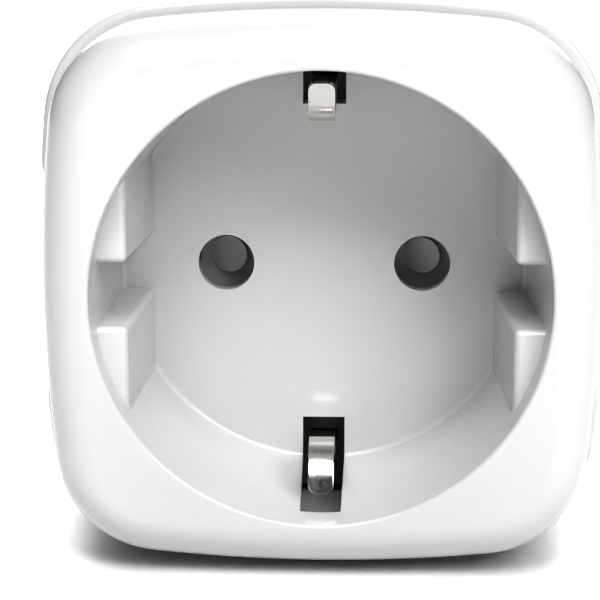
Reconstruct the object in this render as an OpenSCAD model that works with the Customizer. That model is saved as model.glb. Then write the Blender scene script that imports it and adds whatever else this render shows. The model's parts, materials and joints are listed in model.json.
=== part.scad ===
// Plug-in power meter: a compact energy-metering adapter with a round
// grounded socket in front and a round grounded plug behind.
// +Y runs from the socket's front face towards the plug's pins, +Z is up.
// The origin lies between the two pins on the plug's end face.

/* [Housing] */
// Width and height of the front cover at its middle
cover_w = 50.8; // [49:0.2:53]
// How far the rear shell stands out past the front cover on every side
shell_step = 1.05; // [0.6:0.05:1.5]
// Radius of the front cover's corners, seen from the front
corner_r = 10; // [8:0.5:12]
// Radius of the slight outward bow of each side
bow_r = 150; // [100:10:300]
// Rounding of the front cover's front edge
front_round = 4; // [2:0.2:4]
// Rounding of the rear shell's back edge
back_round = 4.4; // [3:0.2:6]
// Wall thickness of both housing shells
wall = 1.8; // [1.4:0.1:2]
// Depth of the finger recess in the left and right sides
grip_depth = 2.6; // [1:0.1:2.6]

/* [Depths from the front face] */
// Parting line between the front cover and the rear shell
parting_d = 9; // [8:0.5:10]
// Floor of the socket well
well_d = 17.5; // [17:0.1:17.8]
// Back face of the housing
back_d = 36; // [35:0.5:37]
// End face of the plug, which rests on the floor of a wall socket
face_d = 53; // [52:0.5:54]

/* [Socket] */
// Radius of the well at its mouth
mouth_r = 20.7; // [20.2:0.1:21]
// Radius of the well at its floor
floor_r = 19.7; // [19.4:0.1:20]
// Radius of each pin entry hole
entry_r = 2.715; // [2.6:0.005:2.8]
// Distance between the two pins, and between the two entry holes
pin_pitch = 19; // [18.9:0.1:19.1]
// Half of the gap between the upper and the lower guide rib
rib_gap = 2.8; // [2.4:0.1:3]
// Width of each earth slot where it meets the floor
slot_w = 4.1; // [3.9:0.1:4.4]

/* [Plug] */
// Radius of each plug pin
pin_r = 2.4; // [2.35:0.01:2.4]
// Free length of each plug pin
pin_len = 19; // [18.8:0.1:19.2]
// Radius of the plug body
plug_r = 18.8; // [18.6:0.1:18.9]
// Half-width of the plug body between its two flattened sides
plug_flat = 16.2; // [16:0.1:16.4]

/* [Movement] */
// Travel of the child-protection shutter
shutter_travel = 5.3; // [5:0.1:5.4]
// Travel of the power button
button_travel = 0.35; // [0.25:0.05:0.35]

/* [Hidden] */
$fn = 48;

cut = 1;                                  // how far a cutter runs past what it cuts
gap = 0.1;                                // clearance between fixed neighbours
cover_half = cover_w / 2;
shell_half = cover_half + shell_step;
pin_x = pin_pitch / 2;
inner_half = shell_half - wall;

// Corner screws
screw_xz = 17.5;
screw_r = 1.3;
screw_head_r = 2.4;
screw_head_h = 1.9;
screw_tip_d = 13;
screw_seat_d = 31;
boss_r = 2.5;
boss_end_d = 24;
column_r = 3.4;
column_end_d = boss_end_d + 0.2;

// Socket well
well_wall = 1.4;
floor_t = 3;
entry_land = 1.4;
entry_relief = 1.3;
floor_back_d = well_d + floor_t;
rib_front_d = 2.8;
rib_x_front = 17.6;
rib_x_floor = 16.55;
rib_top = 13;
slot_front_d = 3.2;
slot_floor_z = 15.54;
slot_end_z = 21.7;
slot_taper = 0.17;

// Shutter and its cage, behind the well's floor
cage_x = 20.4;
cage_z = 5.8;
cage_wall = 0.8;
cage_plate_d = 24.6;
cage_back_d = 25.6;
shutter_face_d = 22.3;
shutter_back_d = 24.4;
shutter_z = 4.6;
shutter_left = -pin_x - shutter_travel - 3.6;
shutter_right = pin_x + 2.9;
shutter_hole_r = 2.5;
wedge_r = 1.8;
wedge_d = 21;
wedge_low = 0.05;
spring_r = 1.15;
spring_wire = 0.35;
spring_turns = 5;

// Plug body
plug_wall = 2;
face_t = 2.5;
ridge_half = 2.2;
groove_half = 3;
bar_inner_z = 15.6;
bar_t = 0.8;
bar_half = 2.5;
plug_in_x = 14.5;
plug_in_z = 13.6;
flange_r = 3.6;
flange_t = 2.2;
stem_r = 1.6;
stem_end_d = 43.5;
pin_root_r = 2.6;                         // the pin is thicker where it passes the end face
carrier_d = 46.3;
carrier_h = 22;
tip_round = 1.2;

// Earth clips: a strip that bulges into the well
clip_half = 1.2;
clip_t = 0.5;
clip_tip = [4.6, 19.2];                   // depth and height of the free end
clip_crest = [9, 15.4];                   // depth and height of the contact crest
clip_bend_r = 4.2;
clip_heel = [13.4, 18];                   // where the strip straightens towards its root
clip_root_d = 26;
clip_riser_d = 22;
clip_pivot_d = 25;
clip_bead_r = 0.33;
screen_d = floor_back_d + 0.1;
screen_back_d = 21.6;

// Main board
board_d = 30.5;
board_t = 1.6;
board_half = 21.2;
board_arm = 14;
board_back_d = board_d + board_t;
post_x = 9.5;
post_z = 18.4;
post_r = 2.2;
board_screw_r = 0.9;

// Socket contacts
contact_r = 2.95;
contact_bore = 2.45;
contact_front_d = cage_back_d + 0.3;
contact_back_d = 35.5;

// Relay
relay_x = 6.2;
relay_z = 10.3;
relay_base_t = 1.2;
relay_back_d = 45.3;
relay_skin = 0.8;
coil_d = 37.6;
coil_r = 3.4;
armature_z = 4.05;
armature_t = 0.8;
armature_pivot_d = 42.5;

// Button group, behind the top wall
button_d = 25.5;
button_r = 4.6;
button_fit = 0.15;
button_top = shell_half - 0.05;
button_flange_r = 5.5;
button_flange_z = 23.1;
button_stem_z = 22.45;
button_board_z = 19.2;
button_board_t = 0.8;
led_x = 10.5;
pipe_r = 1;

// ---------- placing and outline helpers ----------

// A flat outline in X and Z, made solid between two depths
module slab(d0, d1) {
    translate([0, d1 - face_d, 0])
        rotate([90, 0, 0])
            linear_extrude(d1 - d0) children();
}

// A round bar along the depth
module peg(x, z, r, d0, d1) {
    translate([x, d1 - face_d, z])
        rotate([90, 0, 0])
            cylinder(h = d1 - d0, r = r);
}

// A box given by its three ranges, the middle one in depth
module block(x0, x1, d0, d1, z0, z1) {
    translate([x0, d0 - face_d, z0])
        cube([x1 - x0, d1 - d0, z1 - z0]);
}

// A body of revolution about the socket's axis, from [radius, depth] points
module turned(points) {
    translate([0, -face_d, 0])
        rotate([-90, 0, 0])
            rotate_extrude($fn = 96) polygon(points);
}

// A round bar across the housing, centred on X = 0
module axle(half, d, z, r) {
    translate([-half, d - face_d, z])
        rotate([0, 90, 0])
            cylinder(h = 2 * half, r = r);
}

// A vertical round bar
module post(x, d, r, z0, z1) {
    translate([x, d - face_d, z0])
        cylinder(h = z1 - z0, r = r);
}

// Points of an arc
function arc(cx, cz, r, a0, a1, n) =
    [for (i = [0 : n - 1]) let (a = a0 + (a1 - a0) * i / n) [cx + r * cos(a), cz + r * sin(a)]];

// A square with bowed sides and round corners, drawn inwards by inset
function corner_centre(half, r) =
    let (m = bow_r - half) (sqrt(2 * pow(bow_r - r, 2) - m * m) - m) / 2;

function bowed_square(half, r, inset, long_n, short_n, corner_n) =
    let (c = corner_centre(half, r), m = bow_r - half, a0 = atan2(c, c + m))
    concat(
        arc(-m, 0, bow_r - inset, -a0, a0, long_n),
        arc(c, c, r - inset, a0, 90 - a0, corner_n),
        arc(0, -m, bow_r - inset, 90 - a0, 90 + a0, short_n),
        arc(-c, c, r - inset, 90 + a0, 180 - a0, corner_n),
        arc(m, 0, bow_r - inset, 180 - a0, 180 + a0, long_n),
        arc(-c, -c, r - inset, 180 + a0, 270 - a0, corner_n),
        arc(0, m, bow_r - inset, 270 - a0, 270 + a0, short_n),
        arc(c, -c, r - inset, 270 + a0, 360 - a0, corner_n));

function reversed(v) = [for (i = [len(v) - 1 : -1 : 0]) v[i]];

// A closed skin over rings of equal length; a ring list that runs forward inside
// and then back outside makes a cup
module skin(rings) {
    n = len(rings[0]);
    last = len(rings) - 1;
    points = [for (ring = rings) each ring];
    sides = [for (k = [0 : last - 1], i = [0 : n - 1], half = [0, 1])
        let (a = k * n + i, b = k * n + (i + 1) % n)
        half == 0 ? [a, b, b + n] : [a, b + n, a + n]];
    front = [for (i = [n - 1 : -1 : 0]) i];
    back = [for (i = [0 : n - 1]) last * n + i];
    polyhedron(points, concat(sides, [front], [back]), convexity = 6);
}

// ---------- housing ----------

function ring3(outline, d) = [for (p = outline) [p[0], d - face_d, p[1]]];

function cover_ring(inset, d) = ring3(bowed_square(cover_half, corner_r, inset, 6, 6, 7), d);

front_steps = 5;
cover_draft = 0.2;
cover_rings = concat(
    [for (i = [0 : front_steps])
        let (a = 90 * i / front_steps)
        cover_ring(cover_draft + front_round * (1 - sin(a)), front_round * (1 - cos(a)))],
    [cover_ring(0, parting_d)]);

// Depth of the finger recess at a height and a depth
grip_mid_d = 18;
grip_half_d = 20;
grip_full_z = 5;
grip_end_z = 11.6;

function smooth(t) = let (s = min(1, max(0, t))) s * s * (3 - 2 * s);

function grip(z, d) =
    grip_depth * max(0, 1 - pow((d - grip_mid_d) / grip_half_d, 2))
    * smooth((grip_end_z - abs(z)) / (grip_end_z - grip_full_z));

// The underside is ground flat by this much so that the meter stands on it
rest_flat = 0.25;
rest_z = -(shell_half - rest_flat);

function shell_ring(inset, d, floor_z) = [
    for (p = bowed_square(shell_half, corner_r + shell_step, inset, 12, 6, 6))
        let (side = abs(p[1]) < grip_end_z && abs(p[0]) > inner_half / 2)
        [side ? p[0] - sign(p[0]) * grip(p[1], d) : p[0], d - face_d, max(p[1], floor_z)]];

lip_round = 0.6;
shell_rings = concat(
    [shell_ring(lip_round, parting_d, rest_z),
     shell_ring(lip_round * 0.3, parting_d + lip_round * 0.3, rest_z),
     shell_ring(0, parting_d + lip_round, rest_z)],
    [for (d = [14, 19, 24, 28, back_d - back_round]) shell_ring(0, d, rest_z)],
    [for (i = [1 : 4])
        let (a = 90 * i / 4)
        shell_ring(back_round * (1 - cos(a)), back_d - back_round * (1 - sin(a)), rest_z)]);

inner_round = back_round - wall;
cavity_rings = concat(
    [for (d = [parting_d, 14, 19, 24, 28, back_d - back_round])
        shell_ring(wall, d, rest_z + wall)],
    [for (i = [1 : 3])
        let (a = 90 * i / 3)
        shell_ring(wall + inner_round * (1 - cos(a)),
                   back_d - back_round + inner_round * sin(a), rest_z + wall)]);

module cover_cavity() {
    slab(wall, parting_d + cut)
        polygon(bowed_square(cover_half, corner_r, cover_draft + wall, 6, 6, 7));
}

// The well's inside, from its mouth to its floor
mouth_chamfer = 0.4;
module well_inside() {
    difference() {
        turned([[0, -cut], [mouth_r + mouth_chamfer, -cut], [mouth_r + mouth_chamfer, 0],
                [mouth_r, mouth_chamfer], [floor_r, well_d], [0, well_d]]);
        for (side = [-1, 1], up = [-1, 1]) guide_rib(side, up);
    }
}

// One guide rib on the well's wall, with a slightly sloping inner face
module guide_rib(side, up) {
    far_x = mouth_r + 2;
    z0 = up > 0 ? rib_gap : -rib_top;
    translate([0, -face_d, z0])
        linear_extrude(rib_top - rib_gap)
            polygon([[side * rib_x_front, rib_front_d], [side * rib_x_floor, well_d + cut],
                     [side * far_x, well_d + cut], [side * far_x, rib_front_d]]);
}

// A slot that narrows a little towards the front
module earth_slot(up) {
    half = slot_w / 2;
    front_half = half - slot_taper;
    z0 = up > 0 ? slot_floor_z : -slot_end_z - cut;
    translate([0, -face_d, z0])
        linear_extrude(slot_end_z + cut - slot_floor_z)
            polygon([[-front_half, slot_front_d], [-half, well_d], [-half, floor_back_d + cut],
                     [half, floor_back_d + cut], [half, well_d], [front_half, slot_front_d]]);
}

tab_x0 = 4;
tab_x1 = 10;
tab_z0 = 22.4;
tab_z1 = 23.9;
tab_end_d = 11.5;

module front_cover() color("white") {
    difference() {
        union() {
            difference() {
                skin(cover_rings);
                cover_cavity();
            }
            turned([[0, wall / 2], [mouth_r + well_wall, wall / 2],
                    [floor_r + well_wall, floor_back_d], [0, floor_back_d]]);
            for (x = [-1, 1], z = [-1, 1])
                peg(x * screw_xz, z * screw_xz, boss_r, wall / 2, boss_end_d);
            for (x = [-tab_x1, tab_x0], z = [-tab_z1, tab_z0])
                block(x, x + tab_x1 - tab_x0, parting_d - 2, tab_end_d, z, z + tab_z1 - tab_z0);
        }
        well_inside();
        for (x = [-pin_x, pin_x]) {
            peg(x, 0, entry_r, well_d - cut, floor_back_d + cut);
            peg(x, 0, entry_r + entry_relief, well_d + entry_land, floor_back_d + cut);
        }
        for (up = [-1, 1]) earth_slot(up);
        for (x = [-1, 1], z = [-1, 1])
            peg(x * screw_xz, z * screw_xz, screw_r + 0.05, screw_tip_d - 1, boss_end_d + cut);
    }
}

// The plug body's outline: a circle with flat sides, each with a middle ridge
module plug_outline() {
    intersection() {
        circle(r = plug_r, $fn = 96);
        union() {
            square([2 * plug_flat, 2 * plug_r + cut], center = true);
            square([2 * plug_r + cut, 2 * ridge_half], center = true);
        }
    }
}

module plug_hollow() {
    intersection() {
        circle(r = plug_r - plug_wall, $fn = 96);
        square([2 * plug_in_x, 2 * plug_in_z], center = true);
    }
}

// A cut for an earth bar, from just inside the bar out to a height
module bar_groove(up, half, d0, outer_z) {
    z0 = up > 0 ? bar_inner_z - gap : -outer_z;
    block(-half, half, d0, face_d - face_t / 2, z0, z0 + outer_z - bar_inner_z + gap);
}

module rear_shell() color("white") {
    difference() {
        union() {
            skin(concat(reversed(cavity_rings), shell_rings));
            slab(back_d - wall, face_d) plug_outline();
            for (x = [-1, 1], z = [-1, 1]) {
                peg(x * screw_xz, z * screw_xz, column_r, column_end_d, back_d - wall / 2);
                peg(x * post_x, z * post_z, post_r, board_back_d, back_d - wall / 2);
            }
        }
        slab(back_d - wall - cut, face_d - face_t) plug_hollow();
        for (x = [-pin_x, pin_x])
            peg(x, 0, pin_root_r + 0.03, face_d - face_t - cut, face_d + cut);
        for (up = [-1, 1]) {
            bar_groove(up, groove_half, back_d, plug_r + cut);
            bar_groove(up, bar_half + gap, back_d - wall - cut, bar_inner_z + bar_t + gap);
        }
        for (x = [-1, 1], z = [-1, 1]) {
            peg(x * screw_xz, z * screw_xz, screw_r + 0.1, column_end_d - cut, back_d);
            peg(x * screw_xz, z * screw_xz, screw_head_r + 0.2, screw_seat_d, back_d + cut);
        }
        for (s = [-1, 1])
            peg(-s * post_x, s * post_z, board_screw_r + 0.05, board_back_d - cut, back_d - wall / 2);
        post(0, button_d, button_r + button_fit, shell_half - wall - cut, shell_half + cut);
        post(led_x, button_d, pipe_r + 0.05, shell_half - wall - cut, shell_half + cut);
    }
}

module housing_screws() color("silver") {
    for (x = [-1, 1], z = [-1, 1]) {
        peg(x * screw_xz, z * screw_xz, screw_r, screw_tip_d, screw_seat_d);
        difference() {
            peg(x * screw_xz, z * screw_xz, screw_head_r, screw_seat_d, screw_seat_d + screw_head_h);
            block(x * screw_xz - 1.5, x * screw_xz + 1.5, screw_seat_d + 1, screw_seat_d + 3,
                  z * screw_xz - 0.3, z * screw_xz + 0.3);
            block(x * screw_xz - 0.3, x * screw_xz + 0.3, screw_seat_d + 1, screw_seat_d + 3,
                  z * screw_xz - 1.5, z * screw_xz + 1.5);
        }
    }
}

// ---------- plug ----------

// A pin with a rounded tip, a root that fills its hole, a flange behind the end
// face and a solder stem
module plug_pin(x) {
    tip_d = face_d + pin_len;
    translate([x, -face_d, 0])
        rotate([-90, 0, 0])
            rotate_extrude($fn = 64)
                polygon(concat(
                    [[0, stem_end_d], [stem_r, stem_end_d], [stem_r, face_d - face_t - flange_t],
                     [flange_r, face_d - face_t - flange_t], [flange_r, face_d - face_t],
                     [pin_root_r, face_d - face_t], [pin_root_r, face_d], [pin_r, face_d]],
                    arc(pin_r - tip_round, tip_d - tip_round, tip_round, 0, 90, 6),
                    [[pin_r - tip_round, tip_d], [0, tip_d]]));
}

module plug_pin_live() color("silver") plug_pin(-pin_x);

module plug_pin_neutral() color("silver") plug_pin(pin_x);

module pin_carrier() color("dimgray") {
    difference() {
        slab(carrier_d, face_d - face_t - flange_t)
            intersection() {
                circle(r = plug_r - plug_wall - gap, $fn = 96);
                square([2 * (plug_in_x - 2 * gap), carrier_h], center = true);
            }
        for (x = [-pin_x, pin_x])
            peg(x, 0, stem_r + 0.05, carrier_d - cut, face_d);
    }
}

// A flat strap from a pin's stem forward to the main board
strap_t = 0.8;
strap_half = 2.5;
module strap(side) {
    outer = plug_in_x - 0.4;
    x0 = side > 0 ? outer - strap_t : -outer;
    block(x0, x0 + strap_t, board_back_d, stem_end_d, -strap_half, strap_half);
    foot = side > 0 ? pin_x - 2 : -outer;
    block(foot, foot + outer - pin_x + 2, stem_end_d - strap_t, stem_end_d, -strap_half, strap_half);
}

module live_strap() color("goldenrod") strap(-1);

module neutral_strap() color("goldenrod") strap(1);

// ---------- earth path ----------

// A bar along the plug's groove, with a riser in front that holds the clip
module earth_bar(up) {
    riser_z = clip_heel[1] - clip_t / 2 - gap;
    z0 = up > 0 ? bar_inner_z : -bar_inner_z - bar_t;
    block(-bar_half, bar_half, clip_riser_d, face_d - face_t / 2 - gap, z0, z0 + bar_t);
    r0 = up > 0 ? bar_inner_z : -riser_z;
    block(-clip_half, clip_half, clip_riser_d, clip_root_d, r0, r0 + riser_z - bar_inner_z);
}

module earth_bar_top() color("gainsboro") earth_bar(1);

module earth_bar_bottom() color("gainsboro") earth_bar(-1);

bridge_d = 26.8;
module earth_bridge() color("gainsboro") {
    block(-bar_half, bar_half, bridge_d, bridge_d + bar_t, -bar_inner_z, bar_inner_z);
}

// Centre line of a clip in depth and height: one round bend whose lowest point is
// the crest, with a short straight run to the tip and another to the heel
clip_bend = clip_crest + [0, clip_bend_r];
tip_run = clip_bend - clip_tip;
heel_run = clip_heel - clip_bend;
clip_front_a = asin(clip_bend_r / norm(tip_run)) - atan2(tip_run[1], tip_run[0]);
clip_back_a = asin(clip_bend_r / norm(heel_run)) + atan2(heel_run[1], heel_run[0]);
bend_steps = 12;
clip_path = concat(
    [clip_tip],
    [for (i = [0 : bend_steps])
        let (a = 270 - clip_front_a + (clip_front_a + clip_back_a) * i / bend_steps)
        clip_bend + clip_bend_r * [cos(a), sin(a)]],
    [clip_heel, [clip_root_d, clip_heel[1]]]);

// The direction along a path at one of its points
function heading(path, i) =
    let (a = path[max(0, i - 1)], b = path[min(len(path) - 1, i + 1)], v = b - a) v / norm(v);

function beside(path, off) =
    [for (i = [0 : len(path) - 1]) let (h = heading(path, i)) path[i] + off * [-h[1], h[0]]];

// A sprung strip with a bead near its root, on which it rocks
module earth_clip(up) {
    outline = concat(beside(clip_path, clip_t / 2), reversed(beside(clip_path, -clip_t / 2)));
    mirror([0, 0, up > 0 ? 0 : 1]) {
        translate([clip_half, -face_d, 0])
            rotate([90, 0, -90])
                mirror([1, 0, 0])
                    linear_extrude(2 * clip_half) polygon(outline);
        axle(clip_half, clip_pivot_d, clip_heel[1], clip_bead_r);
    }
}

module earth_clip_top() color("gainsboro") earth_clip(1);

module earth_clip_bottom() color("gainsboro") earth_clip(-1);

// A dark plate behind each slot, with a window that the clip passes through
module slot_screen(up, end_z) {
    near_z = 14.2;
    window_z = clip_heel[1] + clip_t / 2 - 0.6;
    window_h = 1.1;
    half = 4.5;
    z0 = up > 0 ? near_z : -end_z;
    w0 = up > 0 ? window_z : -window_z - window_h;
    difference() {
        block(-half, half, screen_d, screen_back_d, z0, z0 + end_z - near_z);
        block(-clip_half - 0.15, clip_half + 0.15, screen_d - cut, screen_back_d + cut,
              w0, w0 + window_h);
    }
}

module slot_screens() color("dimgray") {
    slot_screen(1, 22.4);
    slot_screen(-1, 23.5);
}

// ---------- shutter ----------

module shutter_cage() color("lightgray") {
    difference() {
        block(-cage_x, cage_x, floor_back_d, cage_back_d, -cage_z, cage_z);
        block(-cage_x + cage_wall, cage_x - cage_wall, floor_back_d - cut, cage_plate_d,
              -cage_z + cage_wall, cage_z - cage_wall);
        for (x = [-pin_x, pin_x])
            peg(x, 0, contact_r, floor_back_d, cage_back_d + cut);
    }
}

// A sliding plate: a wedge boss closes each entry hole, an opening lies beside it
module shutter() color("darkgray") {
    difference() {
        union() {
            block(shutter_left, shutter_right, shutter_face_d, shutter_back_d, -shutter_z, shutter_z);
            for (x = [-pin_x, pin_x]) wedge_boss(x);
        }
        for (x = [-pin_x, pin_x])
            peg(x - shutter_travel, 0, shutter_hole_r, shutter_face_d - cut, shutter_back_d + cut);
    }
}

// A round boss whose end slopes, so that a pin pushes the shutter sideways
module wedge_boss(x) {
    slope = (shutter_face_d - wedge_low - wedge_d) / (2 * wedge_r);
    reach = wedge_r + cut;
    near_d = wedge_d - cut * slope;
    far_d = wedge_d + (wedge_r + reach) * slope;
    difference() {
        peg(x, 0, wedge_r, wedge_d - cut, shutter_face_d + 0.2);
        translate([0, -face_d, -reach])
            linear_extrude(2 * reach)
                polygon([[x + reach, near_d], [x - reach, far_d],
                         [x - reach, wedge_d - 2 * cut], [x + reach, wedge_d - 2 * cut]]);
    }
}

// The return spring as a stack of rings between the shutter and the cage
module shutter_spring() color("silver") {
    x0 = shutter_right;
    x1 = cage_x - cage_wall;
    pitch = (x1 - x0 - spring_wire) / (spring_turns - 1);
    spring_d = (shutter_face_d + shutter_back_d) / 2;
    for (i = [0 : spring_turns - 1])
        translate([x0 + spring_wire / 2 + i * pitch, spring_d - face_d, 0])
            rotate([0, 90, 0])
                rotate_extrude($fn = 32)
                    translate([spring_r - spring_wire / 2, 0])
                        circle(r = spring_wire / 2, $fn = 16);
}

// ---------- socket contacts ----------

// A split sleeve that grips the pin, with a flange on the board
module socket_contact(x) {
    foot_x = 4.6;
    foot_z = 2;
    foot_t = 0.8;
    split = 1;
    difference() {
        union() {
            peg(x, 0, contact_r, contact_front_d, contact_back_d);
            block(x - foot_x, x + foot_x, board_d - foot_t, board_d, -foot_z, foot_z);
        }
        peg(x, 0, contact_bore, contact_front_d - cut, contact_back_d + cut);
        block(x - split / 2, x + split / 2, contact_front_d - cut, board_d - 2 * foot_t,
              -contact_r - cut, contact_r + cut);
    }
}

module socket_contact_live() color("goldenrod") socket_contact(-pin_x);

module socket_contact_neutral() color("goldenrod") socket_contact(pin_x);

// ---------- boards and components ----------

module main_board() color("darkgreen") {
    difference() {
        slab(board_d, board_back_d)
            union() {
                square([2 * board_half, 2 * board_arm], center = true);
                square([2 * board_arm, 2 * board_half], center = true);
            }
        for (x = [-pin_x, pin_x])
            peg(x, 0, contact_r + 0.1, board_d - cut, board_back_d + cut);
        for (z = [-1, 1]) {
            mid = z * (bar_inner_z + bar_t / 2);
            block(-bar_half - 0.4, bar_half + 0.4, board_d - cut, board_back_d + cut,
                  mid - bar_t, mid + bar_t);
        }
        for (s = [-1, 1])
            peg(-s * post_x, s * post_z, board_screw_r + 0.15, board_d - cut, board_back_d + cut);
    }
}

module board_screws() color("silver") {
    for (s = [-1, 1]) {
        peg(-s * post_x, s * post_z, board_screw_r, board_d, board_back_d + 2.4);
        peg(-s * post_x, s * post_z, 1.9, board_d - 1.2, board_d);
    }
}

module relay_base() color("black") {
    block(-relay_x, relay_x, board_back_d, board_back_d + relay_base_t, -relay_z, relay_z);
}

module relay_cover() color("royalblue") {
    d0 = board_back_d + relay_base_t;
    difference() {
        block(-relay_x, relay_x, d0, relay_back_d, -relay_z, relay_z);
        block(-relay_x + relay_skin, relay_x - relay_skin, d0 - cut, relay_back_d - relay_skin,
              -relay_z + relay_skin, relay_z - relay_skin);
    }
}

module relay_coil() color("brown") {
    z0 = -8.6;
    z1 = 3.5;
    cheek = 0.7;
    cheek_half = 4;
    d0 = board_back_d + relay_base_t;
    post(0, coil_d, coil_r, z0 + cheek, z1 - cheek);
    for (z = [z0, z1 - cheek])
        block(-cheek_half, cheek_half, d0, coil_d + cheek_half, z, z + cheek);
}

// The pivoting plate over the coil's end; its rounded edge is the pivot
module relay_armature() color("silver") {
    half = 3.4;
    block(-half, half, coil_d - 3.2, armature_pivot_d, armature_z, armature_z + armature_t);
    axle(half, armature_pivot_d, armature_z + armature_t / 2, armature_t / 2);
}

module relay_contacts() color("gold") {
    d0 = board_back_d + relay_base_t;
    for (x = [-3, 3]) {
        block(x - 1.5, x + 1.5, d0, d0 + 8, 8.2, 8.8);
        block(x - 0.8, x + 0.8, d0 + 5, d0 + 6.6, 7.4, 8.2);
    }
}

// A resistor strip on two feet
module shunt_resistor() color("dimgray") {
    block(-14, -8, board_back_d, board_back_d + 0.9, -12.5, -10.9);
    block(-14, -8, board_back_d, board_back_d + 0.9, -6.1, -4.5);
    block(-13.4, -8.6, board_back_d + 0.9, board_back_d + 1.4, -12.5, -4.5);
}

// A flat-bottomed chip on the board's front face
module chip(x0, x1, z0, z1, h) {
    block(x0, x1, board_d - h, board_d, z0, z1);
}

module meter_chip() color("black") chip(5, 10, 14.2, 17.8, 1.5);

module supply_chip() color("black") chip(-13.2, -8.2, 12.6, 16.2, 1.5);

module rectifier() color("black") chip(-13, -8.2, -19.5, -15.5, 2.2);

radio = [4, 20.4, -13.6, -6.4];
module radio_module() color("midnightblue") {
    block(radio[0], radio[1], board_d - 0.8, board_d, radio[2], radio[3]);
}

module radio_shield() color("silver") {
    block(radio[0] + 0.8, radio[0] + 11.6, board_d - 3, board_d - 0.8, radio[2] + 0.6, radio[3] - 0.6);
}

module film_capacitor() color("goldenrod") {
    block(4.2, 13.8, 21.5, board_d, 8, 13.5);
}

module supply_capacitors() color("slategray") {
    for (x = [-7.2, -14.6])
        peg(x, -10.2, 3.15, 21.5, board_d);
}

// A disc on two leads
module varistor() color("teal") {
    disc_d = 25.5;
    disc_r = 4;
    post(-9.5, disc_d, disc_r, 8.2, 11.8);
    for (x = [-12, -7])
        block(x - 0.35, x + 0.35, disc_d + 1, board_d, 9.6, 10.3);
}

module fuse() color("saddlebrown") peg(-17, 9.5, 2, 22.5, board_d);

module inductor() color("black") peg(17.3, 9.8, 2.4, 22.5, board_d);

module button_board() color("darkgreen") {
    block(-7, 12.5, 21.8, 29.7, button_board_z, button_board_z + button_board_t);
}

header_z = button_board_z - 0.6;
module board_header() color("gold") {
    for (i = [0 : 3])
        block(4.6 + 2 * i, 5.2 + 2 * i, 27.5, board_d, header_z, button_board_z);
}

switch_z = button_board_z + button_board_t;
switch_top = switch_z + 1.7;
switch_floor_z = switch_z + 0.4;
plunger_r = 1.5;
plunger_spare = 0.25;                     // room left under the plunger when it is pressed
module switch_body() color("black") {
    difference() {
        block(-3, 3, button_d - 3, button_d + 3, switch_z, switch_top);
        post(0, button_d, plunger_r + 0.06, switch_floor_z, switch_top + cut);
    }
}

module switch_plunger() color("tan") {
    post(0, button_d, plunger_r, switch_floor_z + button_travel + plunger_spare, button_stem_z - 0.05);
}

module power_button() color("white") {
    post(0, button_d, plunger_r, button_stem_z, button_flange_z);
    post(0, button_d, button_flange_r, button_flange_z, button_flange_z + 0.9);
    post(0, button_d, button_r, button_flange_z, button_top);
}

module status_led() color("ivory") {
    block(led_x - 0.8, led_x + 0.8, button_d - 0.8, button_d + 0.8, switch_z, switch_z + 0.8);
}

module light_pipe() color("whitesmoke") {
    post(led_x, button_d, pipe_r, switch_z + 1, button_top - 0.4);
    post(led_x, button_d, pipe_r + 0.6, 22.4, 23.6);
}

front_cover();
rear_shell();
housing_screws();
plug_pin_live();
plug_pin_neutral();
pin_carrier();
live_strap();
neutral_strap();
earth_bar_top();
earth_bar_bottom();
earth_bridge();
earth_clip_top();
earth_clip_bottom();
slot_screens();
shutter_cage();
shutter();
shutter_spring();
socket_contact_live();
socket_contact_neutral();
main_board();
board_screws();
relay_base();
relay_cover();
relay_coil();
relay_armature();
relay_contacts();
shunt_resistor();
meter_chip();
supply_chip();
rectifier();
radio_module();
radio_shield();
film_capacitor();
supply_capacitors();
varistor();
fuse();
inductor();
button_board();
board_header();
switch_body();
switch_plunger();
power_button();
status_led();
light_pipe();
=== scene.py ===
import json
import math

import bmesh
import bpy
from bpy.props import FloatProperty, FloatVectorProperty, PointerProperty
from mathutils import Matrix, Vector


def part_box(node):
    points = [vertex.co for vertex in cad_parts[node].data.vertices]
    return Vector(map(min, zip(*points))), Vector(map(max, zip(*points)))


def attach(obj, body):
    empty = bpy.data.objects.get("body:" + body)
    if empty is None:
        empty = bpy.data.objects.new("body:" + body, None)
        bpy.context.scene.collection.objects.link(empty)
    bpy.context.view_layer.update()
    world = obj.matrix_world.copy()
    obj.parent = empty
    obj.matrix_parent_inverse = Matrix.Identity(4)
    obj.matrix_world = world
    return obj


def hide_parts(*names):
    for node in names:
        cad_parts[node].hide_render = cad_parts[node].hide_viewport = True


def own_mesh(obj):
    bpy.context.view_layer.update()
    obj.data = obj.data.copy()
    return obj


bl_info = {
    "name": "Plug-in Power Meter",
    "version": (1, 0, 0),
    "blender": (4, 5, 0),
    "location": "View3D > Sidebar > Power Meter",
    "description": "Builds the shells, contacts and finishes of a plug-in power meter",
    "category": "Object",
}

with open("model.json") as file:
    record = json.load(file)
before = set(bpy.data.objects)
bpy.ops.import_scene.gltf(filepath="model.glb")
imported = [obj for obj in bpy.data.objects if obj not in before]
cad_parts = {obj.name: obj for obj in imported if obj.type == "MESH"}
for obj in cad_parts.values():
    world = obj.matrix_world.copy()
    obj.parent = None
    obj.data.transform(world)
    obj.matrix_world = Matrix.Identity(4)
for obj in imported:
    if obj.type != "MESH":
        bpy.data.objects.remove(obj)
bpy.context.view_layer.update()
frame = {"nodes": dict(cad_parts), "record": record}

MM = 0.001
COVER_LOW, COVER_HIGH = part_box("front_cover")
SHELL_LOW, SHELL_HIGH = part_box("rear_shell")
FRONT_Y = COVER_LOW[1]
COVER_HALF = COVER_HIGH[0]
REST_Z = SHELL_LOW[2]
FACE_Y = SHELL_HIGH[1]


def depth(d):
    """The Y of a plane d millimetres behind the front face."""
    return FRONT_Y + d * MM


# ---------- sizes and colours ----------

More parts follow.
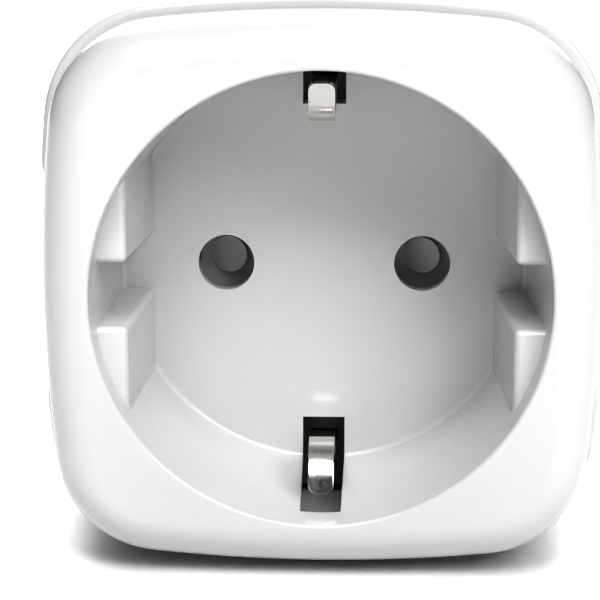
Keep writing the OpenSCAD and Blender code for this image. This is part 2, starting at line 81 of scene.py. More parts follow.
def length(name, about, millimetres):
    return FloatProperty(name=name, description=about, default=millimetres * MM,
                         min=0.0, precision=5, unit="LENGTH")


def colour(name, about, rgb):
    return FloatVectorProperty(name=name, description=about, subtype="COLOR",
                               default=rgb, min=0.0, max=1.0)


class MeterSizes(bpy.types.PropertyGroup):
    corner: length("Corner radius", "Radius of the front cover's corners", 10.0)
    bow: length("Side bow", "Radius of the slight outward bow of each side", 150.0)
    front_round: length("Front rounding", "Rounding of the cover's front edge", 4.0)
    wall: length("Wall", "Thickness of the housing's walls", 1.8)
    mouth: length("Well mouth", "Radius of the socket well at its mouth", 20.7)
    floor: length("Well floor", "Radius of the socket well at its floor", 19.7)
    grip: length("Finger recess", "Depth of the finger recess in each side", 2.6)
    edge: length("Edge", "Small rounding of moulded edges", 0.22)


class MeterColours(bpy.types.PropertyGroup):
    housing: colour("Housing", "White of the moulded shells", (0.6, 0.6, 0.6))
    shutter: colour("Shutter", "Grey of the shutter", (0.6, 0.6, 0.6))
    nickel: colour("Nickel", "Plating of pins, bars and clips", (0.75, 0.74, 0.72))
    brass: colour("Brass", "Stamped contacts and straps", (0.78, 0.58, 0.3))
    board: colour("Board", "Solder resist of the main board", (0.02, 0.16, 0.07))
    floor: colour("Floor", "The pale floor that the meter stands on", (0.8, 0.8, 0.8))


def sizes():
    return bpy.context.scene.meter_sizes


def colours():
    return bpy.context.scene.meter_colours


# ---------- shader maths ----------

class Val:
    """A socket that adds Math nodes when it is used in an expression."""

    def __init__(self, net, socket):
        self.net = net
        self.socket = socket

    def maths(self, operation, a, b):
        return self.net.add("ShaderNodeMath", {"operation": operation}, {0: a, 1: b})

    def __add__(self, other):
        return self.maths("ADD", self, other)

    def __radd__(self, other):
        return self.maths("ADD", other, self)

    def __sub__(self, other):
        return self.maths("SUBTRACT", self, other)

    def __rsub__(self, other):
        return self.maths("SUBTRACT", other, self)

    def __mul__(self, other):
        return self.maths("MULTIPLY", self, other)

    def __rmul__(self, other):
        return self.maths("MULTIPLY", other, self)

    def __gt__(self, other):
        return self.maths("GREATER_THAN", self, other)

    def __lt__(self, other):
        return self.maths("LESS_THAN", self, other)


class Net:
    """A material's nodes, with its Principled shader ready."""

    def __init__(self, name):
        self.material = bpy.data.materials.new(name)
        self.material.use_nodes = True
        self.tree = self.material.node_tree
        self.tree.nodes.clear()
        out = self.tree.nodes.new("ShaderNodeOutputMaterial")
        self.shader = self.tree.nodes.new("ShaderNodeBsdfPrincipled")
        self.tree.links.new(self.shader.outputs[0], out.inputs["Surface"])

    def add(self, kind, settings=None, inputs=None, output=0):
        node = self.tree.nodes.new(kind)
        for key, value in (settings or {}).items():
            if key == "stops":
                self.set_stops(node.color_ramp, value)
            else:
                setattr(node, key, value)
        for key, value in (inputs or {}).items():
            self.feed(node.inputs[key], value)
        return Val(self, node.outputs[output])

    def set_stops(self, ramp, stops):
        while len(ramp.elements) < len(stops):
            ramp.elements.new(0.5)
        for element, (place, shade) in zip(ramp.elements, stops):
            element.position = place
            element.color = (shade, shade, shade, 1.0)

    def feed(self, socket, value):
        if isinstance(value, Val):
            self.tree.links.new(value.socket, socket)
        elif isinstance(value, (tuple, list)) and socket.type == "RGBA" and len(value) == 3:
            socket.default_value = (*value, 1.0)
        else:
            socket.default_value = value

    def set(self, **values):
        """Sets the shader's own sockets, with spaces written as underscores."""
        for key, value in values.items():
            self.feed(self.shader.inputs[key.replace("_", " ")], value)
        return self.material

    def place(self, scale=(1, 1, 1)):
        """Object coordinates, stretched by scale."""
        where = self.add("ShaderNodeTexCoord", output=3)
        return self.add("ShaderNodeMapping", {}, {"Vector": where, "Scale": scale})

    def noise(self, size, detail=3.0, scale=(1, 1, 1), rough=0.55):
        """Noise whose blotches are about size metres across."""
        return self.add("ShaderNodeTexNoise", {}, {
            "Vector": self.place(scale), "Scale": 1.0 / size, "Detail": detail, "Roughness": rough})

    def ramp(self, value, *stops):
        return self.add("ShaderNodeValToRGB", {"stops": stops}, {"Fac": value})

    def mix(self, amount, low, high):
        return self.add("ShaderNodeMix", {"data_type": "RGBA"},
                        {0: amount, 6: low, 7: high}, output=2)

    def bump(self, height, distance, strength=1.0):
        return self.add("ShaderNodeBump", {}, {
            "Height": height, "Distance": distance, "Strength": strength})


def shade(rgb, factor):
    return tuple(min(1.0, c * factor) for c in rgb)


def moulded_gloss(name, rgb, rough=0.24):
    """Glossy moulded plastic: a faint flow pattern, an orange-peel skin and rare fine dust."""
    net = Net(name)
    flow = net.noise(0.012, 2.0)
    peel = net.noise(0.0011, 2.0)
    handled = net.noise(0.006, 4.0)
    dust = net.ramp(net.noise(0.0006, 1.0), (0.76, 0.0), (0.8, 1.0))
    tint = net.mix(flow, shade(rgb, 0.985), shade(rgb, 1.01))
    return net.set(
        Base_Color=net.mix(dust * 0.25, tint, shade(rgb, 0.8)),
        Roughness=rough + (handled - 0.5) * 0.1,
        Normal=net.bump(peel, 0.00002, 0.35),
        Coat_Weight=0.25, Coat_Roughness=0.08, IOR=1.5)


def moulded_matte(name, rgb, rough=0.55):
    """Matte moulded plastic with a fine spark-eroded grain."""
    net = Net(name)
    fine = net.noise(0.00035, 3.0)
    wide = net.noise(0.008, 2.0)
    return net.set(
        Base_Color=net.mix(wide, shade(rgb, 0.92), shade(rgb, 1.06)),
        Roughness=rough + (fine - 0.5) * 0.15,
        Normal=net.bump(fine, 0.00003, 0.5), IOR=1.5)


def plated(name, rgb, rough=0.2, along=(1, 0.08, 1)):
    """Plated metal: drawing lines along the strip and soft blotches."""
    net = Net(name)
    lines = net.noise(0.00025, 3.0, along)
    blotch = net.noise(0.003, 4.0)
    worn = net.ramp(blotch, (0.45, 0.0), (0.7, 1.0))
    return net.set(
        Base_Color=net.mix(worn * 0.12, rgb, shade(rgb, 0.7)),
        Metallic=1.0,
        Roughness=rough + (lines - 0.5) * 0.12 + worn * 0.08,
        Normal=net.bump(lines, 0.00001, 0.4))


def enamelled_wire(name, rgb):
    """Turns of fine enamelled wire wound round an upright core, with painted shade in the grooves
    between turns.
    """
    net = Net(name)
    pitch = 0.22 * MM
    turns = net.add("ShaderNodeTexWave", {"bands_direction": "Z"}, {
        "Vector": net.place(), "Scale": 0.05 / pitch, "Distortion": 0.4, "Detail Scale": 2.0}, output=1)
    tone = net.noise(0.001, 2.0)
    return net.set(
        # Base colour falls to about a third between the turns: painted shade in the grooves between
        # turns; the same bands also drive the bump.
        Base_Color=net.mix(turns, shade(rgb, 0.35), net.mix(tone, shade(rgb, 0.9), shade(rgb, 1.2))),
        Roughness=0.3, Metallic=0.6, Normal=net.bump(turns, 0.00006))


def solder_resist(name, rgb):
    """Solder resist over copper: broad pours, thin tracks and tinned dots."""
    net = Net(name)
    cells = net.add("ShaderNodeTexVoronoi", {"feature": "DISTANCE_TO_EDGE", "distance": "MANHATTAN"},
                    {"Vector": net.place((1, 0.2, 1)), "Scale": 260.0, "Randomness": 0.7})
    track = cells < 0.07
    dots = net.add("ShaderNodeTexVoronoi", {}, {"Vector": net.place((1, 0.2, 1)), "Scale": 420.0})
    pad = dots < 0.13
    copper = net.mix(track, shade(rgb, 1.0), shade(rgb, 0.45))
    weave = net.noise(0.0004, 2.0)
    return net.set(
        Base_Color=net.mix(pad, copper, (0.7, 0.7, 0.68)),
        Metallic=pad * 0.9,
        Roughness=0.35 + (weave - 0.5) * 0.15,
        Normal=net.bump(track * 1.0, 0.00004, 0.6))


def clear_moulded(name, rgb):
    """Clear moulded plastic with a faint milky flow."""
    net = Net(name)
    flow = net.noise(0.001, 2.0)
    return net.set(Base_Color=net.mix(flow, shade(rgb, 0.95), rgb), Roughness=0.1 + flow * 0.08,
                   Transmission_Weight=0.75, IOR=1.49)


def studio_floor(name, rgb):
    net = Net(name)
    tone = net.noise(0.05, 3.0)
    return net.set(Base_Color=net.mix(tone, shade(rgb, 0.99), rgb), Roughness=0.6)


# ---------- mesh helpers ----------

def circle_arc(cx, cz, radius, start, end, count):
    """Points of an arc in X and Z, without its last point; angles in radians."""
    turns = (start + (end - start) * i / count for i in range(count))
    return [(cx + radius * math.cos(a), cz + radius * math.sin(a)) for a in turns]


def bowed_square(half, corner, inset, side_count=36):
    """A square with bowed sides and round corners, drawn inwards by inset."""
    bow = sizes().bow
    m = bow - half
    c = (math.sqrt(2 * (bow - corner) ** 2 - m * m) - m) / 2
    a = math.atan2(c, c + m)
    outline = []
    for quarter in range(4):
        side = circle_arc(-m, 0, bow - inset, -a, a, side_count)
        bend = circle_arc(c, c, corner - inset, a, math.pi / 2 - a, 12)
        turn = Matrix.Rotation(quarter * math.pi / 2, 2)
        outline += [tuple(turn @ Vector(p)) for p in side + bend]
    return outline


def round_like(outline, radius):
    """A circle whose points lie at the same angles as an outline's."""
    return [tuple(Vector(p).normalized() * radius) for p in outline]


def at(outline, y):
    return [Vector((x, y, z)) for x, z in outline]


def extrude_onto(bm, verts, edges, points):
    """Extrudes a row of edges and moves the new vertices onto points, in order."""
    places = {tuple(v.co): i for i, v in enumerate(verts)}
    made = bmesh.ops.extrude_edge_only(bm, edges=edges)["geom"]
    fresh = [g for g in made if isinstance(g, bmesh.types.BMVert)]
    fresh = [v for _, v in sorted((places[tuple(v.co)], v) for v in fresh)]
    for v, p in zip(fresh, points):
        v.co = p
    members = set(fresh)
    return fresh, [g for g in made if isinstance(g, bmesh.types.BMEdge) and set(g.verts) <= members]


def loft(bm, rings):
    """A solid through closed rings of equal length, each loop extruded onto the next."""
    verts = [bm.verts.new(p) for p in rings[0]]
    count = len(verts)
    edges = [bm.edges.new((verts[i], verts[(i + 1) % count])) for i in range(count)]
    first = list(edges)
    for ring in rings[1:]:
        verts, edges = extrude_onto(bm, verts, edges, ring)
    bmesh.ops.edgeloop_fill(bm, edges=first)
    bmesh.ops.edgeloop_fill(bm, edges=edges)
    bmesh.ops.recalc_face_normals(bm, faces=bm.faces)


def copy_into(bm, part):
    """Adds one bmesh to another and frees it."""
    places = {v: bm.verts.new(v.co) for v in part.verts}
    for face in part.faces:
        bm.faces.new([places[v] for v in face.verts])
    part.free()


def to_object(name, bm, material):
    """Makes a mesh object in place from a bmesh."""
    mesh = bpy.data.meshes.new(name)
    bm.to_mesh(mesh)
    bm.free()
    if material is not None:
        mesh.materials.append(material)
    obj = bpy.data.objects.new(name, mesh)
    bpy.context.scene.collection.objects.link(obj)
    return obj


def settle(obj):
    """Applies an object's modifiers to its mesh."""
    graph = bpy.context.evaluated_depsgraph_get()
    mesh = bpy.data.meshes.new_from_object(obj.evaluated_get(graph))
    old = obj.data
    obj.modifiers.clear()
    obj.data = mesh
    mesh.name = obj.name
    bpy.data.meshes.remove(old)


def boolean(obj, operation, bm):
    """Joins or cuts a piece with the solids of a bmesh."""
    tool = to_object("tool", bm, None)
    modifier = obj.modifiers.new("join", "BOOLEAN")
    modifier.operation = operation
    modifier.solver = "EXACT"
    modifier.object = tool
    settle(obj)
    bpy.data.meshes.remove(tool.data)


def soften(obj, width, angle=32, segments=3):
    """Rounds the sharp edges and evens the shading of the flat faces."""
    bevel = obj.modifiers.new("edges", "BEVEL")
    bevel.width = width
    bevel.segments = segments
    bevel.limit_method = "ANGLE"
    bevel.angle_limit = math.radians(angle)
    bevel.use_clamp_overlap = True
    settle(obj)
    for face in obj.data.polygons:
        face.use_smooth = True
    obj.data.set_sharp_from_angle(angle=math.radians(50))
    weigh = obj.modifiers.new("shading", "WEIGHTED_NORMAL")
    weigh.keep_sharp = True
    settle(obj)


def add_box(bm, low, high):
    """A box between two corners."""
    low, high = Vector(low), Vector(high)
    size = high - low
    place = Matrix.Translation((low + high) / 2) @ Matrix.Diagonal((*size, 1))
    bmesh.ops.create_cube(bm, size=1, matrix=place)


def add_rod(bm, centre, radius, start, end, axis="Y", segments=48):
    """A round bar along Y or Z, from start to end."""
    turn = Matrix.Rotation(-math.pi / 2, 4, "X") if axis == "Y" else Matrix.Identity(4)
    middle = Vector(centre)
    middle["XYZ".index(axis)] = (start + end) / 2
    bmesh.ops.create_cone(bm, cap_ends=True, segments=segments, radius1=radius, radius2=radius,
                          depth=abs(end - start), matrix=Matrix.Translation(middle) @ turn)


def turned(bm, profile, centre):
    """A body turned about an axis along Y, from [radius, Y] points whose ends lie on the axis."""
    cx, cz = centre
    verts = [bm.verts.new((cx + r, y, cz)) for r, y in profile]
    edges = [bm.edges.new(pair) for pair in zip(verts, verts[1:])]
    bmesh.ops.spin(bm, geom=verts + edges, cent=(cx, 0, cz), axis=(0, 1, 0), angle=2 * math.pi,
                   steps=64, use_merge=True, use_duplicate=False)
    bmesh.ops.remove_doubles(bm, verts=bm.verts, dist=1e-7)
    bmesh.ops.recalc_face_normals(bm, faces=bm.faces)


def place_piece(obj, body, slot, *nodes):
    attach(obj, body)
    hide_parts(*nodes)


def dress(node, material):
    """Gives a carried-over node its finish."""
    data = frame["nodes"][node].data
    data.materials.clear()
    data.materials.append(material)


# ---------- front cover ----------

FLOOR_D = 17.5
FLOOR_BACK_D = 20.5
PARTING_D = 9.0
SEAM = 0.12
PIN_X = 9.5 * MM
ENTRY_R = 2.715 * MM
ENTRY_LAND, ENTRY_RELIEF = 1.4, 1.3 * MM
SCREW_BOSS_R, SCREW_BORE_R = 2.5 * MM, 1.35 * MM


def quarter(count):
    """Angles of a quarter turn, both ends included."""
    return [math.pi / 2 * i / count for i in range(count + 1)]


def cover_rings():
    s = sizes()
    corner, wall = s.corner, s.wall

    def outline(inset):
        return bowed_square(COVER_HALF, corner, inset)

    whole = outline(0)

    def ring(radius, d):
        return at(round_like(whole, radius), depth(d))

    floor_round = 0.45
    mouth_round = 0.3
    rings = []
    for a in quarter(6):
        rings.append(ring(s.floor - floor_round * MM * (1 - math.sin(a)),
                          FLOOR_D - floor_round * (1 - math.cos(a))))
    for t in (0.75, 0.5, 0.25):
        rings.append(ring(s.floor + (s.mouth - s.floor) * (1 - t), FLOOR_D * t))
    for a in quarter(4):
        rings.append(ring(s.mouth + mouth_round * MM * (1 - math.cos(a)),
                          mouth_round * (1 - math.sin(a))))
    draft = 0.2 * MM
    front = s.front_round
    for a in quarter(9):
        rings.append(at(outline(draft + front * (1 - math.sin(a))),
                        FRONT_Y + front * (1 - math.cos(a))))
    rings.append(at(outline(0), depth(PARTING_D - 2 * SEAM)))
    rings.append(at(outline(0.04 * MM), depth(PARTING_D - 1.2 * SEAM)))
    rings.append(at(outline(0.15 * MM), depth(PARTING_D - SEAM)))
    rings.append(at(outline(wall + 0.1 * MM), depth(PARTING_D - SEAM)))
    rings.append(at(outline(wall + draft), depth(1.8)))
    rings.append(ring(s.mouth + 1.4 * MM, 1.8))
    rings.append(ring(s.floor + 1.4 * MM, FLOOR_BACK_D))
    return rings


RIB_FRONT_D = 2.8
RIB_TOP = 12.8


def stepped_hole(bm, centre, front_r, front_d, step_d, back_r, back_end_d):
    """A cutter for a round hole whose radius changes at a depth."""
    start, step, end = depth(front_d), depth(step_d), depth(back_end_d)
    turned(bm, [(0, start), (front_r, start), (front_r, step),
                (back_r, step), (back_r, end), (0, end)], centre)


def add_rib(bm, side, up):
    """One guide rib on the well's wall, with sloping faces and well rounded edges."""
    front_x, floor_x, far_x = 17.55, 16.5, 21.4
    front_gap, floor_gap = 3.0, 2.6
    reach = FLOOR_D + 0.6
    part = bmesh.new()
    corners = []
    for d, near_x, gap in ((RIB_FRONT_D, front_x, front_gap), (reach, floor_x, floor_gap)):
        corners.append([Vector((side * x * MM, depth(d), up * z * MM))
                        for x, z in ((near_x, gap), (near_x, RIB_TOP),
                                     (far_x, RIB_TOP), (far_x, gap))])
    loft(part, corners)
    limit = (far_x - 0.1) * MM
    edges = [e for e in part.edges if min(abs(v.co.x) for v in e.verts) < limit
             and min(v.co.y for v in e.verts) < depth(reach) - 1e-6]
    bmesh.ops.bevel(part, geom=edges, offset=0.6 * MM, affect="EDGES", segments=5,
                    profile=0.5, material=-1)
    copy_into(bm, part)


def add_slot(bm, up):
    """An earth slot that narrows a little towards the front."""
    half = 2.05
    z = sorted((up * 15.54 * MM, up * 22.6 * MM))
    rings = []
    for d, h in ((3.2, half - 0.17), (FLOOR_D, half), (FLOOR_BACK_D + 1, half)):
        rings.append([Vector((x * MM, depth(d), level)) for x, level in
                      ((-h, z[0]), (h, z[0]), (h, z[1]), (-h, z[1]))])
    loft(bm, rings)


def screw_places():
    """The X and Z of the four housing screws' axes."""
    low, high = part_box("housing_screws")
    reach = (high[0] - low[0]) / 2 - 2.4 * MM
    return [(x, z) for x in (-reach, reach) for z in (-reach, reach)]


def build_front_cover(material):
    s = sizes()
    bm = bmesh.new()
    loft(bm, cover_rings())
    cover = to_object("front_cover_moulding", bm, material)
    ribs = bmesh.new()
    for side in (-1, 1):
        for up in (-1, 1):
            add_rib(ribs, side, up)
    boolean(cover, "UNION", ribs)
    bosses = bmesh.new()
    cuts = bmesh.new()
    for x, z in screw_places():
        add_rod(bosses, (x, 0, z), SCREW_BOSS_R, depth(1.2), depth(24))
        add_rod(cuts, (x, 0, z), SCREW_BORE_R, depth(12), depth(25), segments=32)
    boolean(cover, "UNION", bosses)
    for x in (-PIN_X, PIN_X):
        stepped_hole(cuts, (x, 0), ENTRY_R, FLOOR_D - 1, FLOOR_D + ENTRY_LAND,
                     ENTRY_R + ENTRY_RELIEF, FLOOR_BACK_D + 1)
    for up in (-1, 1):
        add_slot(cuts, up)
    boolean(cover, "DIFFERENCE", cuts)
    soften(cover, s.edge)
    place_piece(cover, "housing", "housing_white", "front_cover")


# ---------- rear shell ----------

BACK_D = 36.0
GRIP_MID_D, GRIP_HALF_D = 18.0, 20.0
GRIP_FULL_Z, GRIP_END_Z = 5.0, 11.6
SHELL_STEP = 1.05
PLUG_SIDES = 96
HOLLOW_R, HOLLOW_HALF_X, HOLLOW_HALF_Z = 16.8, 14.5, 13.6
COLUMN_R, COLUMN_FRONT_D = 3.4 * MM, 24.2
PIN_HOLE_R = 2.63 * MM
BUTTON_HOLE_R, PIPE_HOLE_R = 4.75 * MM, 1.05 * MM
SHANK_R, HEAD_R = 1.4 * MM, 2.6 * MM
SHANK_FRONT_D, HEAD_SEAT_D = 22.0, 31.0
BAR_INNER_Z, PASSAGE_OUTER_Z, SLOT_OUTER_Z = 15.5 * MM, 16.5 * MM, 20.0 * MM
PASSAGE_HALF_X, PASSAGE_FRONT_D = 2.6 * MM, 33.0
SLOT_HALF_X, SLOT_END = 3.0 * MM, 1.25 * MM
BACK_WALL, PLUG_WALL = 3.0, 2.5 * MM


def smooth_step(t):
    t = min(1.0, max(0.0, t))
    return t * t * (3 - 2 * t)


def finger_recess(z, d):
    """How far, in metres, the side is pressed in at a height and a depth in millimetres."""
    along = max(0.0, 1 - ((d - GRIP_MID_D) / GRIP_HALF_D) ** 2)
    across = smooth_step((GRIP_END_Z - abs(z)) / (GRIP_END_Z - GRIP_FULL_Z))
    return sizes().grip * along * across


def shell_ring(inset, d, floor_z):
    s = sizes()
    half = COVER_HALF + SHELL_STEP * MM
    points = []
    for x, z in bowed_square(half, s.corner + SHELL_STEP * MM, inset, 44):
        if abs(z) < GRIP_END_Z * MM and abs(x) > half / 2:
            x -= math.copysign(finger_recess(z / MM, d), x)
        points.append(Vector((x, depth(d), max(z, floor_z))))
    return points


def shell_rings():
    s = sizes()
    wall = s.wall
    back_round = 4.4
    inner_round = back_round - wall / MM
    lip = 0.6
    rings = []
    mid = [PARTING_D + 1 + i for i in range(1, 22)]
    for a in reversed(quarter(5)[:-1]):
        rings.append(shell_ring(wall + inner_round * MM * (1 - math.cos(a)),
                                BACK_D - back_round + inner_round * math.sin(a), REST_Z + wall))
    for d in reversed(mid[::3]):
        rings.append(shell_ring(wall, d, REST_Z + wall))
    rings.append(shell_ring(wall, PARTING_D, REST_Z + wall))
    for a in quarter(5):
        rings.append(shell_ring(lip * MM * (1 - math.sin(a)),
                                PARTING_D + lip * (1 - math.cos(a)), REST_Z))
    for d in mid:
        rings.append(shell_ring(0, d, REST_Z))
    for a in quarter(9):
        rings.append(shell_ring(back_round * MM * (1 - math.cos(a)),
                                BACK_D - back_round * (1 - math.sin(a)), REST_Z))
    return rings


def plug_outline():
    """The plug body's section: a circle with flat sides and a middle ridge on each."""
    radius, flat, ridge = 18.8, 16.2, 2.2
    points = []
    for i in range(PLUG_SIDES):
        a = 2 * math.pi * (i + 0.5) / PLUG_SIDES
        x, z = radius * math.cos(a), radius * math.sin(a)
        if abs(x) > flat and abs(z) > ridge:
            x = math.copysign(flat, x)
        points.append((x * MM, z * MM))
    return points


def clipped_circle(radius, half_x, half_z):
    """A circle with its sides, top and bottom cut flat."""
    points = []
    for i in range(PLUG_SIDES):
        a = 2 * math.pi * (i + 0.5) / PLUG_SIDES
        x, z = radius * math.cos(a), radius * math.sin(a)
        points.append((max(-half_x, min(half_x, x)) * MM, max(-half_z, min(half_z, z)) * MM))
    return points


def build_rear_shell(material):
    s = sizes()
    bm = bmesh.new()
    loft(bm, shell_rings())
    shell = to_object("rear_shell_moulding", bm, material)
    boss = bmesh.new()
    loft(boss, [at(plug_outline(), depth(BACK_D - 1.0)), at(plug_outline(), FACE_Y)])
    for x, z in screw_places():
        add_rod(boss, (x, 0, z), COLUMN_R, depth(COLUMN_FRONT_D), depth(BACK_D - 0.9))
    boolean(shell, "UNION", boss)
    passages = bmesh.new()
    for up in (-1, 1):
        z = sorted((up * BAR_INNER_Z, up * PASSAGE_OUTER_Z))
        add_box(passages, (-PASSAGE_HALF_X, depth(PASSAGE_FRONT_D), z[0]),
                (PASSAGE_HALF_X, depth(BACK_D + 1), z[1]))
    cuts = bmesh.new()
    hollow = clipped_circle(HOLLOW_R, HOLLOW_HALF_X, HOLLOW_HALF_Z)
    loft(cuts, [at(hollow, depth(BACK_D - BACK_WALL)), at(hollow, FACE_Y - PLUG_WALL)])
    for x in (-PIN_X, PIN_X):
        add_rod(cuts, (x, 0, 0), PIN_HOLE_R, FACE_Y - 4 * MM, FACE_Y + 1 * MM)
    for up in (-1, 1):
        z = sorted((up * BAR_INNER_Z, up * SLOT_OUTER_Z))
        add_box(cuts, (-SLOT_HALF_X, depth(BACK_D), z[0]), (SLOT_HALF_X, FACE_Y - SLOT_END, z[1]))
    for x, z in screw_places():
        stepped_hole(cuts, (x, z), SHANK_R, SHANK_FRONT_D, HEAD_SEAT_D, HEAD_R, BACK_D + 1)
    low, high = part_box("power_button")
    button = (low + high) / 2
    add_rod(cuts, (0, button[1], 0), BUTTON_HOLE_R, button[2], high[2] + 2 * MM, "Z", 72)
    low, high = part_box("light_pipe")
    pipe = (low + high) / 2
    add_rod(cuts, (pipe[0], pipe[1], 0), PIPE_HOLE_R, pipe[2], high[2] + 2 * MM, "Z", 32)
    boolean(shell, "DIFFERENCE", cuts)
    boolean(shell, "DIFFERENCE", passages)
    soften(shell, s.edge)
    place_piece(shell, "housing", "housing_white", "rear_shell")


# ---------- earth clips ----------

def clip_path():
    """The clip's centre line in depth and height, in millimetres: tip, round bend, heel, root."""
    tip, crest, radius, heel = Vector((4.6, 19.2)), Vector((9.0, 15.4)), 4.2, Vector((13.4, 18.0))
    root_d = 26.0
    centre = crest + Vector((0, radius))
    tip_run, heel_run = centre - tip, heel - centre
    front = math.asin(radius / tip_run.length) - math.atan2(tip_run.y, tip_run.x)
    back = math.asin(radius / heel_run.length) + math.atan2(heel_run.y, heel_run.x)
    points = []
    for i in range(25):
        a = 1.5 * math.pi - front + (front + back) * i / 24
        points.append(centre + radius * Vector((math.cos(a), math.sin(a))))
    run = (points[0] - tip).length
    steps = (0, 0.04, 0.12, 0.24, 0.4, 0.62, 0.9, 1.2, 2.2, 3.4)
    points = [tip.lerp(points[0], k / run) for k in steps if k < run] + points
    end = points[-1]
    points += [end.lerp(heel, 0.5), end.lerp(heel, 0.85), heel + Vector((0.35, -0.1)),
               heel + Vector((0.9, 0)), Vector((root_d, heel.y))]
    return points


def build_clip(up, material):
    """A bent strip with a round free end, thickened and softened."""
    name = "earth_clip_top" if up > 0 else "earth_clip_bottom"
    half, thick, tip_round = 1.2, 0.5, 0.85
    across = 10
    bm = bmesh.new()
    path = clip_path()
    rows = []
    run = 0.0
    for i, p in enumerate(path):
        if i:
            run += (p - path[i - 1]).length
        reach = half
        if run < tip_round:
            reach += math.sqrt(tip_round ** 2 - (tip_round - run) ** 2) - tip_round
        rows.append([Vector(((2 * k / across - 1) * reach * MM, depth(p.x), up * p.y * MM))
                     for k in range(across + 1)])
    verts = [bm.verts.new(p) for p in rows[0]]
    edges = [bm.edges.new(pair) for pair in zip(verts, verts[1:])]
    for row in rows[1:]:
        verts, edges = extrude_onto(bm, verts, edges, row)
    bmesh.ops.recalc_face_normals(bm, faces=bm.faces)
    clip = to_object(name + "_strip", bm, material)
    solid = clip.modifiers.new("strip", "SOLIDIFY")
    solid.thickness = thick * MM
    solid.offset = 0
    settle(clip)
    soften(clip, 0.09 * MM, angle=40, segments=2)
    place_piece(clip, "clip_top" if up > 0 else "clip_bottom", "nickel_strip", name)


# ---------- shutter spring ----------

def build_spring(material):
    """A coil of round wire, the shutter's return spring, attached to the housing."""
    low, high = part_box("shutter_spring")
    wire, turns, steps = 0.175 * MM, 5, 40
    centre_y = (low[1] + high[1]) / 2
    coil = (high[2] - low[2]) / 2 - wire
    bm = bmesh.new()
    upright = Matrix.Rotation(math.pi / 2, 4, "X")
    start = Matrix.Translation((low[0] + wire, centre_y, coil)) @ upright
    verts = bmesh.ops.create_circle(bm, cap_ends=False, segments=12, radius=wire,
                                    matrix=start)["verts"]
    edges = list(bm.edges)
    total = turns * steps
    pitch = (high[0] - low[0] - 2 * wire) / total
    spun = bmesh.ops.spin(bm, geom=verts + edges, cent=(0, centre_y, 0), axis=(1, 0, 0),
                          dvec=(pitch, 0, 0), angle=2 * math.pi * turns, steps=total,
                          use_duplicate=False)
    bmesh.ops.edgeloop_fill(bm, edges=edges)
    far_edges = [g for g in spun["geom_last"] if isinstance(g, bmesh.types.BMEdge)]
    bmesh.ops.edgeloop_fill(bm, edges=far_edges)
    bmesh.ops.recalc_face_normals(bm, faces=bm.faces)
    spring = to_object("return_spring", bm, material)
    for face in spring.data.polygons:
        face.use_smooth = len(face.vertices) == 4
    place_piece(spring, "housing", "zinc_steel", "shutter_spring")
    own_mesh(spring)


# ---------- operators ----------

class METER_OT_front_cover(bpy.types.Operator):
    """Build the front cover with its well, ribs, slots and entry holes"""
    bl_idname = "meter.front_cover"
    bl_label = "Front Cover"

    def execute(self, context):
        build_front_cover(moulded_gloss("cover_gloss", tuple(colours().housing)))
        return {"FINISHED"}


class METER_OT_rear_shell(bpy.types.Operator):
    """Build the rear shell with its finger recesses and plug body"""
    bl_idname = "meter.rear_shell"
    bl_label = "Rear Shell"

    def execute(self, context):
        build_rear_shell(moulded_gloss("shell_gloss", tuple(colours().housing)))
        return {"FINISHED"}


class METER_OT_earth_clips(bpy.types.Operator):
    """Build the two sprung earth clips"""
    bl_idname = "meter.earth_clips"
    bl_label = "Earth Clips"

    def execute(self, context):
        nickel = plated("clip_nickel", tuple(colours().nickel), 0.18)
        for up in (1, -1):
            build_clip(up, nickel)
        return {"FINISHED"}


class METER_OT_spring(bpy.types.Operator):
    """Wind the shutter's return spring"""
    bl_idname = "meter.spring"
    bl_label = "Shutter Spring"

    def execute(self, context):
        build_spring(plated("spring_steel", (0.62, 0.62, 0.62), 0.3, (1, 1, 1)))
        return {"FINISHED"}


